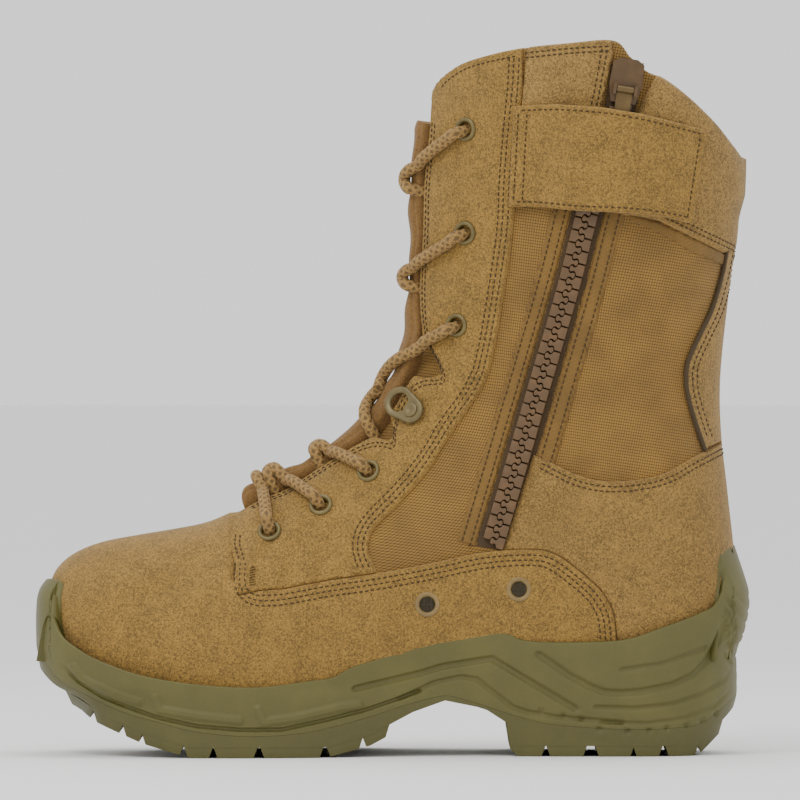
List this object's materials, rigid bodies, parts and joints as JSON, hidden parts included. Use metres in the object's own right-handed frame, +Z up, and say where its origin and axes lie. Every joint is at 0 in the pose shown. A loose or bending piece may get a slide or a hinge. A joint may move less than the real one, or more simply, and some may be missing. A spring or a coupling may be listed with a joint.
{
  "type": "combat boot",
  "caption": "Laced combat boot with an inner side zip, suede and nylon upper, padded tongue and collar and a deep lugged rubber sole.",
  "frame": {"origin": "middle of the bounding box on the floor under the sole", "axes": "+Z up the shaft, toe towards -X, heel towards +X, inner (zip) side of the right boot towards -Y"},
  "size_m": [0.3051, 0.1139, 0.3049],
  "materials": {
    "outsole_rubber": "moulded rubber, matt, olive",
    "midsole_rubber": "moulded rubber, matt, olive",
    "suede": "rough-out suede, coyote tan",
    "collar_suede": "padded suede, coyote tan",
    "tongue_suede": "padded suede, brown",
    "nylon": "woven nylon, coyote tan",
    "insole_fabric": "footbed cloth, dark",
    "zip_tape": "woven zip tape, dark tan",
    "zip_teeth": "moulded plastic teeth, tan",
    "zip_slider": "moulded slider, tan",
    "zip_pull": "painted pull tab, khaki",
    "eyelet_metal": "painted brass, khaki",
    "hook_metal": "painted brass, khaki",
    "vent_metal": "painted brass with mesh, khaki",
    "lace": "braided round lace, tan"
  },
  "bodies": {
    "boot": {"outsole": "outsole_rubber", "midsole": "midsole_rubber", "insole": "insole_fabric", "upper": "nylon", "tongue": "tongue_suede", "eyestay_inner": "suede", "eyestay_outer": "suede", "heel_counter": "suede", "back_strip": "suede", "collar_cuff": "collar_suede", "collar_front": "collar_suede", "zip_tape": "zip_tape", "zip_teeth": "zip_teeth", "zip_slider": "zip_slider", "zip_flap": "suede", "eyelet_inner_1": "eyelet_metal", "eyelet_inner_2": "eyelet_metal", "eyelet_inner_3": "eyelet_metal", "eyelet_inner_4": "eyelet_metal", "eyelet_inner_5": "eyelet_metal", "eyelet_inner_6": "eyelet_metal", "speed_hook_inner": "hook_metal", "eyelet_outer_1": "eyelet_metal", "eyelet_outer_2": "eyelet_metal", "eyelet_outer_3": "eyelet_metal", "eyelet_outer_4": "eyelet_metal", "eyelet_outer_5": "eyelet_metal", "eyelet_outer_6": "eyelet_metal", "speed_hook_outer": "hook_metal", "drain_vent_front": "vent_metal", "drain_vent_rear": "vent_metal", "lace_bar": "lace", "lace_cross_1": "lace", "lace_cross_2": "lace", "lace_cross_3": "lace", "lace_cross_4": "lace", "lace_cross_5": "lace", "lace_cross_6": "lace"},
    "pull": {"zip_pull": "zip_pull"}
  },
  "joints": [
    {"name": "zip_pull_hinge", "type": "hinge", "parent": "boot", "child": "pull", "pos_m": [0.09931, -0.05185, 0.28389], "axis": [0.9856, 0.0588, -0.1587], "range_deg": [-1.5, 2.5]}
  ]
}
